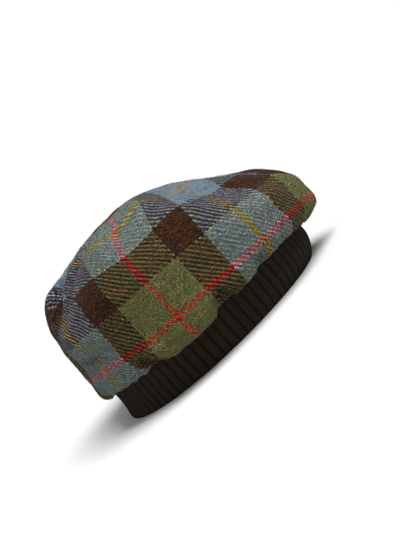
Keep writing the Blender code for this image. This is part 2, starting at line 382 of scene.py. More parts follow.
def make_piece(name, points, faces, material, uv=None, uv_name=""):
    """A smooth shaded mesh object from arrays, with its material and each point's place in the pattern."""
    mesh = bpy.data.meshes.new(name)
    mesh.from_pydata(points.reshape(-1, 3).tolist(), [], [list(face) for face in faces])
    mesh.shade_smooth()
    if uv is not None:
        corner = np.empty(len(mesh.loops), np.int32)
        mesh.loops.foreach_get("vertex_index", corner)
        layer = mesh.uv_layers.new(name=uv_name)
        layer.data.foreach_set("uv", uv.reshape(-1, 2)[corner].astype(np.float32).ravel())
    mesh.materials.append(material)
    made = bpy.data.objects.new(name, mesh)
    bpy.context.collection.objects.link(made)
    print("%s: %d faces" % (name, len(mesh.polygons)))
    return made


# %% [markdown]
# ## Laying a piece of cloth flat
#
# A woven check is straight on the cutting table and bends only where the hat bends, so each half is
# laid flat again. Its grid is cut into small stiff triangles. Each is laid on the table and turned so
# that it fits its neighbours best, and then all of them are joined by one set of equations. After some
# rounds the cloth is flat with little stretch. The flat place of each point is its place in the weave.

# %% Stiff triangles that flatten the cloth
flat_columns = 41
flat_rows = 31
flat_rounds = 80
stiffness_range = (0.03, 3.0)
least_square = 1e-12


def grid_triangles(columns, rows):
    """Corner numbers of the two triangles in each quad of a grid."""
    index = np.arange(columns * rows).reshape(columns, rows)
    low, ahead, over, up = index[:-1, :-1], index[1:, :-1], index[1:, 1:], index[:-1, 1:]
    both = ((low, ahead, over), (low, over, up))
    return np.concatenate([np.stack(three, axis=-1).reshape(-1, 3) for three in both])


def stiff_edges(place, corners):
    """Each triangle on the table by itself: its three edges, and the stiffness of each.

    The stiffness of an edge is the cotangent of the angle across from it, kept within its range.
    """
    first = place[corners[:, 1]] - place[corners[:, 0]]
    second = place[corners[:, 2]] - place[corners[:, 0]]
    length = np.linalg.norm(first, axis=-1)
    along = np.sum(first * second, axis=-1) / length
    above = np.sqrt(np.maximum(np.sum(second**2, axis=-1) - along**2, least_square))
    table = np.zeros(corners.shape + (2,))
    table[:, 1, 0] = length
    table[:, 2, 0] = along
    table[:, 2, 1] = above
    following = np.roll(table, -1, axis=1)
    last = np.roll(table, -2, axis=1)
    cotangent = np.sum((following - table) * (last - table), axis=-1) / (length * above)[:, None]
    return last - following, np.clip(cotangent, *stiffness_range)[..., None]


def rough_layout(points):
    """A first flat place for each point: lengths added up along its row from the middle and up its column."""
    flat = np.zeros(points.shape[:2] + (2,))
    flat[1:, :, 0] = np.cumsum(np.linalg.norm(np.diff(points, axis=0), axis=-1), axis=0)
    flat[..., 0] -= flat[len(points) // 2, :, 0]
    flat[:, 1:, 1] = np.cumsum(np.linalg.norm(np.diff(points, axis=1), axis=-1), axis=1)
    return flat.reshape(-1, 2)


def lay_flat(points):
    """Flat places of a curved grid: in each round triangles turn to fit, and one system joins them again."""
    columns, rows = points.shape[:2]
    corners = grid_triangles(columns, rows)
    edge, weight = stiff_edges(points.reshape(-1, 3), corners)
    start = np.roll(corners, -1, axis=1)
    end = np.roll(corners, -2, axis=1)
    system = np.zeros((columns * rows, columns * rows))
    for one, other in ((start, end), (end, start)):
        np.add.at(system, (one, one), weight[..., 0])
        np.add.at(system, (one, other), -weight[..., 0])
    system[0, 0] += 1
    joined = np.linalg.inv(system)
    flat = rough_layout(points)
    for _ in range(flat_rounds):
        now = flat[end] - flat[start]
        cosine = np.sum(weight * now * edge, axis=(1, 2))
        sine = np.sum(weight * (now[..., 1:] * edge[..., :1] - now[..., :1] * edge[..., 1:]), axis=(1, 2))
        turn = ((cosine + 1j * sine) / np.hypot(cosine, sine))[:, None] * (edge[..., 0] + 1j * edge[..., 1])
        pull = weight * np.stack([turn.real, turn.imag], axis=-1)
        pulls = np.zeros_like(flat)
        np.add.at(pulls, end, pull)
        np.add.at(pulls, start, -pull)
        flat = joined @ pulls
    flat = flat.reshape(columns, rows, 2)
    return flat - flat[columns // 2, 0]


# %% [markdown]
# ## Where each thread runs
#
# On the near half each place where two of its lines cross was read off the photograph. The far
# half was cut from the same cloth with the check further along, and its marks are places on it. A
# projection from the side would smear the check over the top, so the marks are found on the cloth laid
# flat instead. Between them the numbers follow a thin-plate spline, which bends as little as a thin
# steel sheet would.

# %% Landmarks of the check
# How far forward a crossing looks and how high across the line of sight, then its warp and weft thread.
landmarks = np.array([
    (-0.0910, 0.0430, -80, 0), (-0.0730, 0.0400, -50, 0), (-0.0490, 0.0365, -26, 0),
    (-0.0176, 0.0360, 0, 0), (0.0160, 0.0354, 26, 0), (0.0450, 0.0346, 50, 0),
    (0.0790, 0.0346, 80, 0), (0.1050, 0.0352, 110, 0), (0.1210, 0.0356, 134, 0),
    (-0.0920, 0.0750, -80, 26), (-0.0724, 0.0746, -50, 26), (-0.0486, 0.0740, -26, 26),
    (-0.0170, 0.0725, 0, 26), (0.0160, 0.0716, 26, 26), (0.0460, 0.0700, 50, 26),
    (0.0770, 0.0690, 80, 26), (0.1018, 0.0690, 110, 26), (0.1180, 0.0690, 134, 26),
    (-0.0720, 0.1080, -50, 50), (-0.0475, 0.1062, -26, 50), (-0.0160, 0.1016, 0, 50),
    (0.0160, 0.1026, 26, 50), (0.0457, 0.1020, 50, 50), (0.0815, 0.0910, 110, 50),
    (-0.0430, 0.1222, -26, 80), (-0.0080, 0.1204, 0, 80), (0.0230, 0.1248, 26, 80),
    (0.0405, 0.1156, 50, 80), (-0.0024, 0.1325, 0, 110), (-0.0930, 0.0880, -84, 37),
    (-0.1030, 0.0442, -105, 0), (0.1040, 0.0500, 110, 11), (0.1200, 0.0480, 134, 10),
    (0.1040, 0.0260, 110, -8), (0.0795, 0.0560, 80, 15), (0.0775, 0.0240, 80, -8),
])
# How far forward, left and up a place of the far half lies, then its warp and weft thread.
far_landmarks = np.array([
    (-0.080, 0.013, 0.110, -121, 49), (-0.088, 0.024, 0.110, -130, 54), (-0.093, 0.007, 0.098, -124, 37),
    (-0.103, 0.000, 0.072, -128, 17), (-0.108, 0.000, 0.039, -130, -6), (-0.090, 0.045, 0.050, -98, -10),
    (-0.040, 0.000, 0.130, -53, 76), (0.000, 0.000, 0.134, -11, 94), (0.040, 0.021, 0.122, 38, 73),
    (0.075, 0.000, 0.105, 92, 76), (0.090, 0.000, 0.094, 111, 64), (0.110, 0.002, 0.080, 125, 54),
    (0.120, 0.000, 0.070, 128, 45), (0.127, 0.000, 0.061, 130, 35), (0.131, 0.000, 0.050, 131, 28),
    (0.132, 0.000, 0.039, 132, 21), (-0.073, 0.080, 0.050, -68, -14), (-0.018, 0.100, 0.052, -14, -13),
    (0.045, 0.097, 0.050, 40, -12), (0.105, 0.065, 0.045, 105, 0), (-0.018, 0.075, 0.105, -13, 30),
    (0.045, 0.070, 0.100, 40, 28),
])
print("landmarks: %d near, %d far" % (len(landmarks), len(far_landmarks)))

# %% A smooth map through landmarks
thin_plate_unit = 0.1
landmark_slack = 0.01
least_radius = 1e-9


def thin_plate(sources, targets, at):
    """The smoothest map through landmarks: a plane, and for each landmark a term r squared times log r."""

    def radial(first, second):
        square = np.sum((first[:, None] - second[None]) ** 2, axis=-1) / thin_plate_unit**2
        return 0.5 * square * np.log(square + least_radius)

    count = len(sources)
    plane = np.column_stack([np.ones(count), sources / thin_plate_unit])
    system = np.zeros((count + 3, count + 3))
    system[:count, :count] = radial(sources, sources) + landmark_slack * np.eye(count)
    system[:count, count:] = plane
    system[count:, :count] = plane.T
    weights = np.linalg.solve(system, np.vstack([targets, np.zeros((3, targets.shape[1]))]))
    places = at.reshape(-1, 2)
    values = radial(places, sources) @ weights[:count]
    values += np.column_stack([np.ones(len(places)), places / thin_plate_unit]) @ weights[count:]
    return values.reshape(at.shape[:-1] + (targets.shape[1],))


# %% Landmarks found on the cloth
view_elevation = math.radians(9)
view_distance = 2.0
view_aim = np.array([0.0247, 0.0, 0.0540])
least_facing = 0.05


def seen_places(points):
    """How far forward and how high each point looks from a camera a little above the rim, on its own side."""
    away = np.abs(points[..., 1])
    seen_up = points[..., 2] * math.cos(view_elevation) - away * math.sin(view_elevation)
    nearer = away * math.cos(view_elevation) + points[..., 2] * math.sin(view_elevation)
    larger = view_distance / (view_distance - nearer)
    seen_forward = view_aim[0] + (points[..., 0] - view_aim[0]) * larger
    seen_up = view_aim[2] + (seen_up - view_aim[2]) * larger
    return seen_forward, seen_up


def facing_camera(side, normals):
    """How squarely the cloth faces the camera: 1 straight at it, 0 edge on and less when turned away."""
    return side * normals[..., 1] * math.cos(view_elevation) + normals[..., 2] * math.sin(view_elevation)


def thread_places(side, points, normals, flat):
    """Each point's warp and weft thread: marks are found on the cloth, and the rest lies smoothly between."""
    if side > 0:
        marks = far_landmarks
        distances = [np.linalg.norm(points - mark[:3], axis=-1) for mark in marks]
    else:
        marks = landmarks
        forward, up = seen_places(points)
        turned_away = facing_camera(side, normals) <= least_facing
        distances = [np.hypot(forward - mark[0], up - mark[1]) + turned_away for mark in marks]
    found = [flat[np.unravel_index(np.argmin(distance), distance.shape)] for distance in distances]
    return thin_plate(np.array(found), marks[:, -2:], flat)


# %% [markdown]
# ## Creases, pleat and nape
#
# Cloth that is gathered into a tight band swells between the gathers and sinks beside them. Towards the
# back one gather is deep enough to lap over the cloth behind it, as a pleat. Brushes could sculpt all
# of this, but a table of long hills can be read, changed and rerun, so each crease is one row.

# %% Creases and swellings of the near side
# Where a hill's middle looks to be, half its length and width, its climb in degrees, and its push.
# The pleat is one step instead: the cloth beyond its line laps over the cloth before it.
crease_columns = ("forward", "seen_up", "half_long", "half_wide", "climb", "push")
creases = (
    (-0.0600, 0.0260, 0.0130, 0.0060, -30, -0.0014),
    (-0.0420, 0.0225, 0.0190, 0.0090, -48, 0.0034),
    (-0.1040, 0.0215, 0.0110, 0.0065, -35, -0.0035),
    (0.1160, 0.0210, 0.0150, 0.0065, 20, -0.0035),
    (-0.0880, 0.0880, 0.0220, 0.0060, 34, 0.0022),
    (-0.0700, 0.1080, 0.0160, 0.0055, 66, 0.0022),
    (-0.0820, 0.0240, 0.0180, 0.0100, -4, 0.0014),
    (-0.0080, 0.0190, 0.0330, 0.0110, 0, 0.0022),
    (0.0220, 0.0220, 0.0130, 0.0055, 80, -0.0034),
    (0.0430, 0.0210, 0.0170, 0.0090, 0, 0.0016),
    (0.0630, 0.0230, 0.0120, 0.0050, 90, -0.0026),
    (-0.0925, 0.0580, 0.0170, 0.0065, -38, -0.0036),
    (-0.0900, 0.0740, 0.0200, 0.0100, -20, 0.0018),
    (-0.0090, 0.1180, 0.0190, 0.0090, 68, -0.0022),
    (-0.0300, 0.1150, 0.0170, 0.0110, 70, 0.0016),
    (0.0180, 0.1200, 0.0170, 0.0110, 80, 0.0020),
    (0.0310, 0.1210, 0.0220, 0.0070, -31, 0.0018),
    (0.0800, 0.0830, 0.0300, 0.0110, -32, -0.0026),
    (0.0620, 0.0940, 0.0100, 0.0040, 90, -0.0016),
    (0.0560, 0.0950, 0.0110, 0.0050, 90, 0.0012),
)
pleat = {
    "forward": -0.0535, "seen_up": 0.0255, "half_long": 0.0150, "climb": -44,
    "step": 0.0016, "reach": 0.018, "push": 0.0036,
}
facing_fade = 0.3


def along_and_across(forward, up, line):
    """How far along a slanting line each place lies, and how far above it: a turn by the line's climb."""
    climb = math.radians(line["climb"])
    ahead = forward - line["forward"]
    above = up - line["seen_up"]
    along = ahead * math.cos(climb) + above * math.sin(climb)
    return along, above * math.cos(climb) - ahead * math.sin(climb)


def crease_height(points, normals, side):
    """How far the near side is pushed out: a hill for each crease, and a step that fades for the pleat."""
    forward, up = seen_places(points)
    height = np.zeros_like(forward)
    for crease in named(crease_columns, creases):
        along, across = along_and_across(forward, up, crease)
        height += crease["push"] * bump(along, crease["half_long"]) * bump(across, crease["half_wide"])
    along, beyond = along_and_across(forward, up, pleat)
    lap = smooth_step(beyond / pleat["step"] + 0.5) * bump(np.maximum(beyond, 0), pleat["reach"])
    height += pleat["push"] * lap * bump(along, pleat["half_long"])
    return height * smooth_step(facing_camera(side, normals) / facing_fade)


# %% The nape
# Beside the seam at the back the near half stands up as a ridge, and the far half sinks into a hollow
# with a soft corner behind it.
nape_columns = ("forward", "left", "half_long", "half_wide", "push")
nape_ridge, nape_hollow, nape_corner = named(nape_columns, (
    (-0.080, -0.0045, 0.032, 0.0048, 0.0016),
    (-0.080, 0.0120, 0.026, 0.0120, -0.0034),
    (-0.104, 0.0220, 0.022, 0.0240, -0.0030),
))
nape_bottom = 0.070
nape_fade = 0.020


def nape_height(points, hill):
    """How far one hill at the nape pushes the cloth out, above the height where the nape begins."""
    above = smooth_step((points[..., 2] - nape_bottom) / nape_fade)
    along = bump(points[..., 0] - hill["forward"], hill["half_long"])
    return hill["push"] * along * bump(points[..., 1] - hill["left"], hill["half_wide"]) * above


print("%d creases and a pleat on the near side, 3 hills at the nape" % len(creases))


# %% [markdown]
# ## The two halves of the crown
#
# The cloth walls get their fine surface here. Next to the seam the edges turn in, as sewn cloth does.
# Near the band the gathers ripple, and all over the cloth is a little uneven. A displacement texture
# could do the last, but waves added to the points stay with the mesh wherever it is used.

# %% Unevenness, gathers and seam
unevenness = 0.00018
uneven_waves = 14
uneven_wavelengths = (0.014, 0.050)
gather_station = 0.07
gather_reach = 0.05
gather_depth = 0.0007
gather_spacing = 0.0115
seam_groove = 0.0011
seam_groove_width = 0.0030


def uneven_height(flat, seed):
    """Soft random relief of the cloth: a sum of sine waves of random direction, length and phase."""
    chance = np.random.default_rng(seed)
    low, high = uneven_wavelengths
    relief = np.zeros(flat.shape[:2])
    for _ in range(uneven_waves):
        heading = chance.uniform(0, 2 * np.pi)
        wavelength = low * (high / low) ** chance.uniform(0, 1)
        phase = chance.uniform(0, 2 * np.pi)
        way = flat[..., 0] * np.cos(heading) + flat[..., 1] * np.sin(heading)
        relief += np.sin(2 * np.pi * way / wavelength + phase) * wavelength / high
    return relief * unevenness


def cloth_relief(side, station, points, normals, flat, seed):
    """How far fine cloth stands out from the plain surface: its hills and waves, less the seam's groove."""
    away = np.abs(points[..., 1])
    clear_of_seam = smooth_step(away / seam_turn)
    relief = uneven_height(flat, seed)
    if side < 0:
        relief += crease_height(points, normals, side)
        ridge = nape_height(points, nape_ridge)
    else:
        relief += nape_height(points, nape_hollow) + nape_height(points, nape_corner)
        ridge = 0
    relief *= clear_of_seam * smooth_step((station - lip_station) / fold_start)
    relief += ridge
    gathers = gather_depth * bump(station - gather_station, gather_reach)
    gathers *= np.sin(2 * np.pi * flat[..., 0] / gather_spacing)
    groove = 1 - smooth_step(away / seam_groove_width)
    return relief + gathers * clear_of_seam - seam_groove * groove * (station > lip_station)


# %% Fine cloth
fine_columns = 280
fine_rows = 160
seam_crowding = 0.55


def flat_places(side, across, up):
    """The fine grid's flat places, read smoothly from a coarse grid that is laid flat, and that grid too."""
    coarse_across = np.linspace(0, 1, flat_columns)
    coarse_up = np.linspace(0, 1, flat_rows)
    coarse = lay_flat(crown_side(side, coarse_across, coarse_up)[2])
    flat = through(coarse_across, coarse, across)
    return through(coarse_up, flat.swapaxes(0, 1), up).swapaxes(0, 1), coarse


def flat_size(name, flat):
    """Length and width of the piece laid flat, and its cut area by the surveyor's sum round its border."""
    size = np.ptp(flat.reshape(-1, 2), axis=0)
    edge = border_of(flat)
    following = np.roll(edge, -1, axis=0)
    area = abs(np.sum(edge[:, 0] * following[:, 1] - edge[:, 1] * following[:, 0])) / 2
    print("%s lies flat in %.0f x %.0f mm, cut area %.4f square metres" % (name, *(1000 * size), area))
    return size, area


def make_crown_half(name, side, material, seed):
    """One half of the crown as a closed wall of fine cloth, with the size and area of its flat piece."""
    across = crowded(fine_columns, seam_crowding)
    up = crowded(fine_rows, seam_crowding)
    flat, coarse = flat_places(side, across, up)
    angle, station, outside = crown_side(side, across, up)
    normals = crown_normal(angle, station)
    threads = thread_places(side, outside, normals, flat)
    normals[..., 1] *= smooth_step(np.abs(outside[..., 1]) / seam_turn)
    normals /= np.linalg.norm(normals, axis=-1, keepdims=True)
    outside += normals * cloth_relief(side, station, outside, normals, flat, seed)[..., None]
    inside = outside - cloth_thickness * normals
    inside[:, 0, :] = outside[:, 0, :] + (0, 0, cloth_thickness)
    faces = shell_faces(fine_columns, fine_rows)[:, ::side]
    points = np.stack([outside, inside])
    made = make_piece(name, points, faces, material, np.stack([threads, threads]), "threads")
    return made, *flat_size(name, coarse)


# %% [markdown]
# ## Sums that become nodes
#
# A finish is a tree of nodes, and most of its nodes only do sums. The small class below wraps one
# socket, so that sums written in Python add the Math nodes that work them out. Every other node comes
# from one method, which sets the node's choices first and then its sockets.

# %% A socket that can be added and multiplied
def adds(operation):
    """An operator that adds one Math node, fed by the wire itself and then by the other value, if any."""
    return lambda wire, *others: wire.maths(operation, wire, *others)


class Wire:
    """One output socket of a node tree. Arithmetic on it adds Math nodes."""

    __add__ = __radd__ = adds("ADD")
    __sub__ = adds("SUBTRACT")
    __mul__ = __rmul__ = adds("MULTIPLY")
    __truediv__ = adds("DIVIDE")
    __mod__ = adds("FLOORED_MODULO")
    __pow__ = adds("POWER")
    __lt__ = adds("LESS_THAN")
    __gt__ = adds("GREATER_THAN")
    __abs__ = adds("ABSOLUTE")
    __floor__ = adds("FLOOR")

    def __init__(self, tree, socket):
        self.tree = tree
        self.socket = socket

    def __rsub__(self, other):
        return self.maths("SUBTRACT", other, self)

    def maths(self, operation, *values):
        """A Math node on these values."""
        return self.tree.add("ShaderNodeMath", {"operation": operation}, values)

    def clamped(self, low, high):
        """0 at low, 1 at high, and straight between."""
        return self.tree.add("ShaderNodeMapRange", {"clamp": True}, {0: self, 1: low, 2: high})


# %% A finish and its nodes
class Finish:
    """A material and its node tree, with the shader whose sockets it fills."""

    def __init__(self, name):
        self.material = bpy.data.materials.new(name)
        self.material.use_nodes = True
        self.tree = self.material.node_tree
        self.shader = self.tree.nodes["Principled BSDF"]

    def add(self, kind, settings=None, values=(), output=0):
        """Adds a node: its settings first, with a ramp's stops among them, then its sockets."""
        node = self.tree.nodes.new(kind)
        for setting, value in (settings or {}).items():
            if setting == "stops":
                self.set_stops(node.color_ramp, value)
            else:
                setattr(node, setting, value)
        pairs = values.items() if isinstance(values, dict) else enumerate(values)
        for key, value in pairs:
            self.fill(node.inputs[key], value)
        return Wire(self, node.outputs[output])

    def set_stops(self, ramp, stops):
        """Gives a ramp its stops, each a position and a colour, with the colour held until the next stop."""
        ramp.interpolation = "CONSTANT"
        while len(ramp.elements) < len(stops):
            ramp.elements.new(1.0)
        for element, (position, colour) in zip(ramp.elements, stops):
            element.position = position
            element.color = colour

    def fill(self, socket, value):
        """Links a wire to a socket, or sets the socket's own value."""
        if isinstance(value, Wire):
            self.tree.links.new(value.socket, socket)
        else:
            socket.default_value = value

    def mix(self, share, first, second, blend="MIX"):
        """A colour between two colours, or another blend of them."""
        settings = {"data_type": "RGBA", "blend_type": blend}
        return self.add("ShaderNodeMix", settings, {0: share, 6: first, 7: second}, 2)

    def point(self, x, y, z=0.0):
        """A vector from three values or wires."""
        return self.add("ShaderNodeCombineXYZ", None, (x, y, z))

    def noise(self, vector, scale, detail=2.0, output="Fac"):
        """Smooth noise, with about one hill each 1 / scale of the vector's unit."""
        values = {"Vector": vector, "Scale": scale, "Detail": detail}
        return self.add("ShaderNodeTexNoise", None, values, output)

    def split(self, vector):
        """The three parts of a vector or a colour."""
        node = self.add("ShaderNodeSeparateXYZ", None, (vector,)).socket.node
        return [Wire(self, socket) for socket in node.outputs]

    def dress(self, **values):
        """Fills the shader's own sockets, with an underscore for each space in a name."""
        for name, value in values.items():
            self.fill(self.shader.inputs[name.replace("_", " ")], value)


def rgb(red, green, blue):
    """A screen's colour, three numbers from 0 to 255, as the linear values that nodes take."""
    shown = np.array([red, green, blue]) / 255
    linear = np.where(shown <= 0.04045, shown / 12.92, ((shown + 0.055) / 1.055) ** 2.4)
    return (*linear.tolist(), 1.0)


# %% [markdown]
# ## The tweed
#
# The cloth is a two-and-two twill of thick carded wool. Each warp thread passes over two weft threads
# and under two, and each row steps one thread on, which draws the slanting lines. Both ways the
# threads follow the same order of colours, so the order is written once, as bands on either side of
# a red line: half of it can be told from the distance to the nearest red line. A picture of the cloth
# would be flat and would blur close up, so the weave is worked out thread by thread instead.

# %% The order of colours
sett = 160.0
half_sett = sett / 2
red_half = 2.0
green_half = 26.0
brown_edge = 50.0
yellow_edge = 78.0
# Each yarn's first thread, counted from the red line, then the wool it is carded from.
yarn_columns = ("edge", "base", "light_fleck", "dark_fleck", "odd_fleck")
yarns = (
    (0.0, rgb(148, 25, 21), rgb(178, 48, 38), rgb(98, 16, 12), rgb(176, 66, 40)),
    (red_half, rgb(77, 84, 42), rgb(117, 115, 80), rgb(27, 62, 47), rgb(112, 70, 34)),
    (green_half, rgb(29, 16, 8), rgb(98, 44, 18), rgb(6, 6, 5), rgb(60, 50, 34)),
    (brown_edge, rgb(75, 100, 121), rgb(152, 167, 170), rgb(30, 54, 94), rgb(124, 110, 74)),
    (yellow_edge, rgb(138, 110, 24), rgb(166, 140, 50), rgb(98, 78, 22), rgb(132, 98, 38)),
)


def distance_from_red(thread):
    """A thread's distance from the middle of the nearest red line, as a share of half a sett."""
    return abs((thread + 0.5 + half_sett) % sett - half_sett) / half_sett


def between(distance, low, high):
    """1 for threads from low to high away from the red line, and 0 for all others."""
    return (distance > low / half_sett) * (distance < high / half_sett)


def yarn_colour(cloth, column, distance):
    """One colour column of the table as a ramp, with a stop where each yarn begins."""
    stops = [(yarn["edge"] / half_sett, yarn[column]) for yarn in named(yarn_columns, yarns)]
    return cloth.add("ShaderNodeValToRGB", {"stops": stops}, (distance,))


print("one repeat of the check: %d threads in %d yarns" % (sett, len(yarns)))

# %% The twill
yarn_wander = 0.30
yarn_wander_scale = 0.45
float_ends = 0.18


def twill(cloth, place):
    """Which thread is on top and which is below, and where on its float a place lies.

    Whole parts of the place number the warp and the weft. Their sum, counted in fours, says which of
    the two is on top. A float is round across its thread and falls off towards both of its ends.
    """
    wander = cloth.split(cloth.noise(place, yarn_wander_scale, 3.0, "Color"))
    forward, up, _ = cloth.split(place)
    forward = forward + (wander[0] - 0.5) * (2 * yarn_wander)
    up = up + (wander[1] - 0.5) * (2 * yarn_wander)
    warp = math.floor(forward)
    weft = math.floor(up)
    step = (warp + weft) % 4
    warp_on_top = step < 2
    weft_on_top = 1 - warp_on_top
    part_warp = forward - warp
    part_weft = up - weft
    across = part_warp * warp_on_top + part_weft * weft_on_top
    along = (part_weft * warp_on_top + part_warp * weft_on_top + step % 2) / 2
    roundness = across * (1 - across) * 4
    belly = along * (1 - along) * 4
    thread = warp * warp_on_top + weft * weft_on_top
    float_number = math.floor((warp + weft) / 4)
    dice = (cloth.point(thread, float_number, warp_on_top),)
    return SimpleNamespace(
        thread=thread,
        thread_below=weft * warp_on_top + warp * weft_on_top,
        weft_on_top=weft_on_top,
        height=(roundness ** 1.5) * (float_ends + (1 - float_ends) * belly),
        chance=cloth.split(cloth.add("ShaderNodeTexWhiteNoise", {"noise_dimensions": "3D"}, dice, "Color")),
    )


# %% [markdown]
# ## Carded wool
#
# Tweed yarn is spun from wool that was dyed in many colours and only roughly blended, so no thread has
# one colour. Light, dark and odd tufts lie along it, and one float is lighter than the next. Where a
# light yarn crosses brown, the brown below darkens it, and where two light yarns cross, their fuzz
# mixes. Each of these is one mix of its own, so each can be set against the real cloth by itself.

# %% Colours of the wool
fleck_scale = 1.3
fleck_range = (0.52, 0.62)
tuft_scale = 0.9 * fleck_scale
tuft_range = (0.55, 0.64)
float_tint = 0.30
float_tint_range = (0.60, 1.0)
shadow_below = 0.27
felting = 0.18


def wool_colour(cloth, place, weave, flecks):
    """The yarn on top with its flecks and tufts, tinted float by float, and mixed with the yarn below."""
    on_top = distance_from_red(weave.thread)
    below = distance_from_red(weave.thread_below)
    base, light, dark, odd = (yarn_colour(cloth, column, on_top) for column in yarn_columns[1:])
    under = yarn_colour(cloth, "base", below)
    tufts = cloth.noise(place, tuft_scale, 1.0)
    colour = cloth.mix(flecks[0].clamped(*fleck_range), base, light)
    colour = cloth.mix(flecks[1].clamped(*fleck_range), colour, dark)
    colour = cloth.mix(tufts.clamped(*tuft_range), colour, odd)
    colour = cloth.mix(float_tint * weave.chance[1].clamped(*float_tint_range), colour, light)
    colour = cloth.mix(float_tint * weave.chance[2].clamped(*float_tint_range), colour, dark)
    plain = between(on_top, red_half, yellow_edge) * between(below, red_half, yellow_edge)
    brown = between(on_top, green_half, brown_edge)
    brown_below = between(below, green_half, brown_edge)
    colour = cloth.mix(shadow_below * plain * brown_below, colour, under, "DARKEN")
    return cloth.mix(felting * plain * (1 - brown) * (1 - brown_below), colour, under)


# %% Light and shade of the weave
gap_shade = 0.90
float_spread = 0.42
beading = 0.14
grain_scale = 0.8 * fleck_scale
grain_range = (0.36, 0.64)
grain_spread = 0.90
sunk_weft_shade = 0.05
yarn_gain = 1.79
warmth_scale = 1.3 * fleck_scale
warmth_spread = 0.90
fleck_relief = 0.35
weave_relief = 0.00045


def wool_shade(cloth, place, weave):
    """A factor for the colour: painted shade in the gaps and round each float, painted shade on the sunk
    weft floats, and tone varied by float, by thread, by grain and by warmth.

    Every second thread is a little lighter, because its twist catches the light. Warmth is added to
    red and taken from blue.
    """
    grain = cloth.noise(place, grain_scale, 0.0).clamped(*grain_range)
    shade = 1 - float_spread / 2 + float_spread * weave.chance[0]
    # Painted shade: darker in the gaps between floats and towards the sides and ends of each float.
    shade = shade * (1 - gap_shade + gap_shade * weave.height)
    shade = shade * (1 - beading / 2 + beading * (weave.thread % 2))
    shade = shade * (1 - grain_spread / 2 + grain_spread * grain)
    # Painted shade: the weft floats, which lie lower than the warp, are a little darker.
    shade = shade * (1 - sunk_weft_shade * weave.weft_on_top) * yarn_gain
    warmth = (cloth.noise(place, warmth_scale, 0.0).clamped(*grain_range) - 0.5) * warmth_spread
    return cloth.point(shade * (1 + warmth), shade, shade * (1 - warmth))


def tweed_finish():
    """Thick twill in the order of colours, with the roundness of each float and its tufts as relief."""
    cloth = Finish("woolly_check_tweed")
    place = cloth.add("ShaderNodeUVMap", {"uv_map": "threads"})
    weave = twill(cloth, place)
    flecks = cloth.split(cloth.noise(place, fleck_scale, 1.0, "Color"))
    colour = wool_colour(cloth, place, weave, flecks)
    colour = cloth.mix(1.0, colour, wool_shade(cloth, place, weave), "MULTIPLY")
    relief = weave.height + fleck_relief * flecks[2]
    rise = cloth.add("ShaderNodeBump", None, {"Strength": 0.7, "Distance": weave_relief, "Height": relief})
    cloth.dress(
        Base_Color=colour, Normal=rise, Roughness=0.95, Specular_IOR_Level=0.08,
        Sheen_Weight=0.02, Sheen_Roughness=0.45, Sheen_Tint=rgb(225, 222, 210),
    )
    print("%s: %d nodes" % (cloth.material.name, len(cloth.tree.nodes)))
    return cloth.material


# %% Both halves
# Each packed half, its side, and the seeds of its unevenness and of its fibres.
crown_halves = (("crown_right", -1, 11, 32), ("crown_left", 1, 12, 31))

tweed = tweed_finish()
halves = {}
for name, side, seed, _ in crown_halves:
    half, size, area = make_crown_half(name.replace("crown", "tweed"), side, tweed, seed)
    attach(half, "root")
    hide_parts(name)
    halves[name] = half

# %% [markdown]
# ## Stray fibres
#
# Carded wool is hairy: short pale and dark fibres lie curled over the weave and soften its outline. A
# hair system would not survive the export, so each fibre is a thin three-sided tube of its own. It
# starts at a random place of a half's outer grid, wanders along the cloth in a curl, and lifts a little
# off it. All fibres of a half are one mesh.

# %% The wool of the fibres
fibre_tint_scale = 240.0
fibre_tint_range = (0.46, 0.54)


def fibre_finish():
    """Pale and dark wool, which changes from place to place."""
    wool = Finish("stray_wool")
    place = wool.add("ShaderNodeTexCoord", None, (), "Object")
    tint = wool.noise(place, fibre_tint_scale, 0.0).clamped(*fibre_tint_range)
    colour = wool.mix(tint, rgb(44, 38, 28), rgb(128, 121, 94))
    wool.dress(Base_Color=colour, Roughness=0.9, Specular_IOR_Level=0.1)
    return wool.material


# %% Curls over the cloth
# No fibre starts in the outermost columns and rows, which hold the gathers, the corners and the seam.
fibre_count = 1400
fibre_steps = 5
fibre_length = (0.003, 0.009)
fibre_curl = (60.0, 330.0)
fibre_root = 0.0001
fibre_lift = 0.0009
fibre_end_lift = 0.2
bare_columns = (2, 3)
bare_rows = (12, 3)


def fibre_starts(column_step, row_step, chance):
    """Random columns and rows, as many to each area of cloth, but for the strips along the edges."""
    cell_area = np.linalg.norm(np.cross(column_step, row_step), axis=-1)
    cell_area[: bare_columns[0]] = cell_area[-bare_columns[1] :] = 0
    cell_area[:, : bare_rows[0]] = cell_area[:, -bare_rows[1] :] = 0
    cell = chance.choice(cell_area.size, fibre_count, p=cell_area.ravel() / cell_area.sum())
    return [part + chance.uniform(0, 1, fibre_count) for part in np.divmod(cell, fine_rows)]


